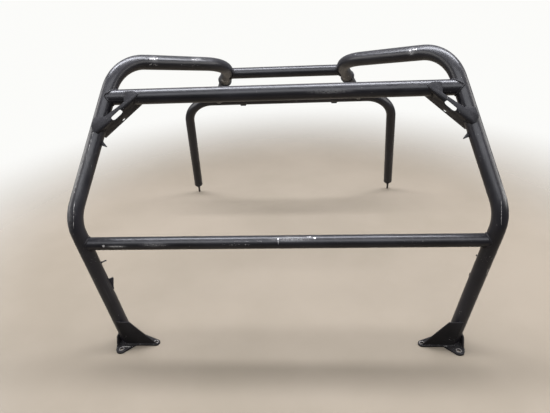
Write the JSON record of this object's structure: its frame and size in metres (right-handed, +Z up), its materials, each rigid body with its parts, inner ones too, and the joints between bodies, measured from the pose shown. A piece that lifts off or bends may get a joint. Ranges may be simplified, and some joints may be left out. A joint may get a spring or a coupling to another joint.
{
  "type": "headache rack",
  "caption": "Welded tubular headache rack: a bent-tube front hoop on bolted foot plates, with crossbars and braces running back to a rear hoop on locating studs",
  "frame": {"origin": "On the ground plane, midway between the two sides and midway between the front of the foot plates and the rear studs' tips.", "axes": "+X to the right as seen from the foot-plate side, +Y from the foot plates back to the rear hoop, +Z up; the ground is Z = 0."},
  "size_m": [1.4124, 1.3691, 1.0023],
  "materials": {
    "tube_paint": "satin black paint over bent steel tube, scuffed and dulled by handling",
    "plate_paint": "satin black paint over folded and cut steel plate, worn at edges and bolt holes",
    "stud_steel": "dark oxidised steel with dull worn spots"
  },
  "bodies": {
    "root": {"side_tube_left": "tube_paint", "side_tube_right": "tube_paint", "brace_left": "tube_paint", "brace_right": "tube_paint", "hoop_end_plug_left": "plate_paint", "hoop_end_plug_right": "plate_paint", "hoop_stud_left": "stud_steel", "hoop_stud_right": "stud_steel", "foot_plate_left": "plate_paint", "foot_plate_right": "plate_paint", "foot_front_gusset_left": "plate_paint", "foot_front_gusset_right": "plate_paint", "foot_side_gusset_left": "plate_paint", "foot_side_gusset_right": "plate_paint", "corner_bracket_left": "plate_paint", "corner_bracket_right": "plate_paint", "hook_tab_left": "plate_paint", "hook_tab_right": "plate_paint", "rail_tab_left": "plate_paint", "rail_tab_right": "plate_paint", "lower_tab_left": "plate_paint", "lower_tab_right": "plate_paint", "peg_left": "plate_paint", "peg_right": "plate_paint", "lower_crossbar": "tube_paint", "upper_crossbar": "tube_paint", "link_bar": "tube_paint", "rear_hoop": "tube_paint"}
  },
  "joints": []
}
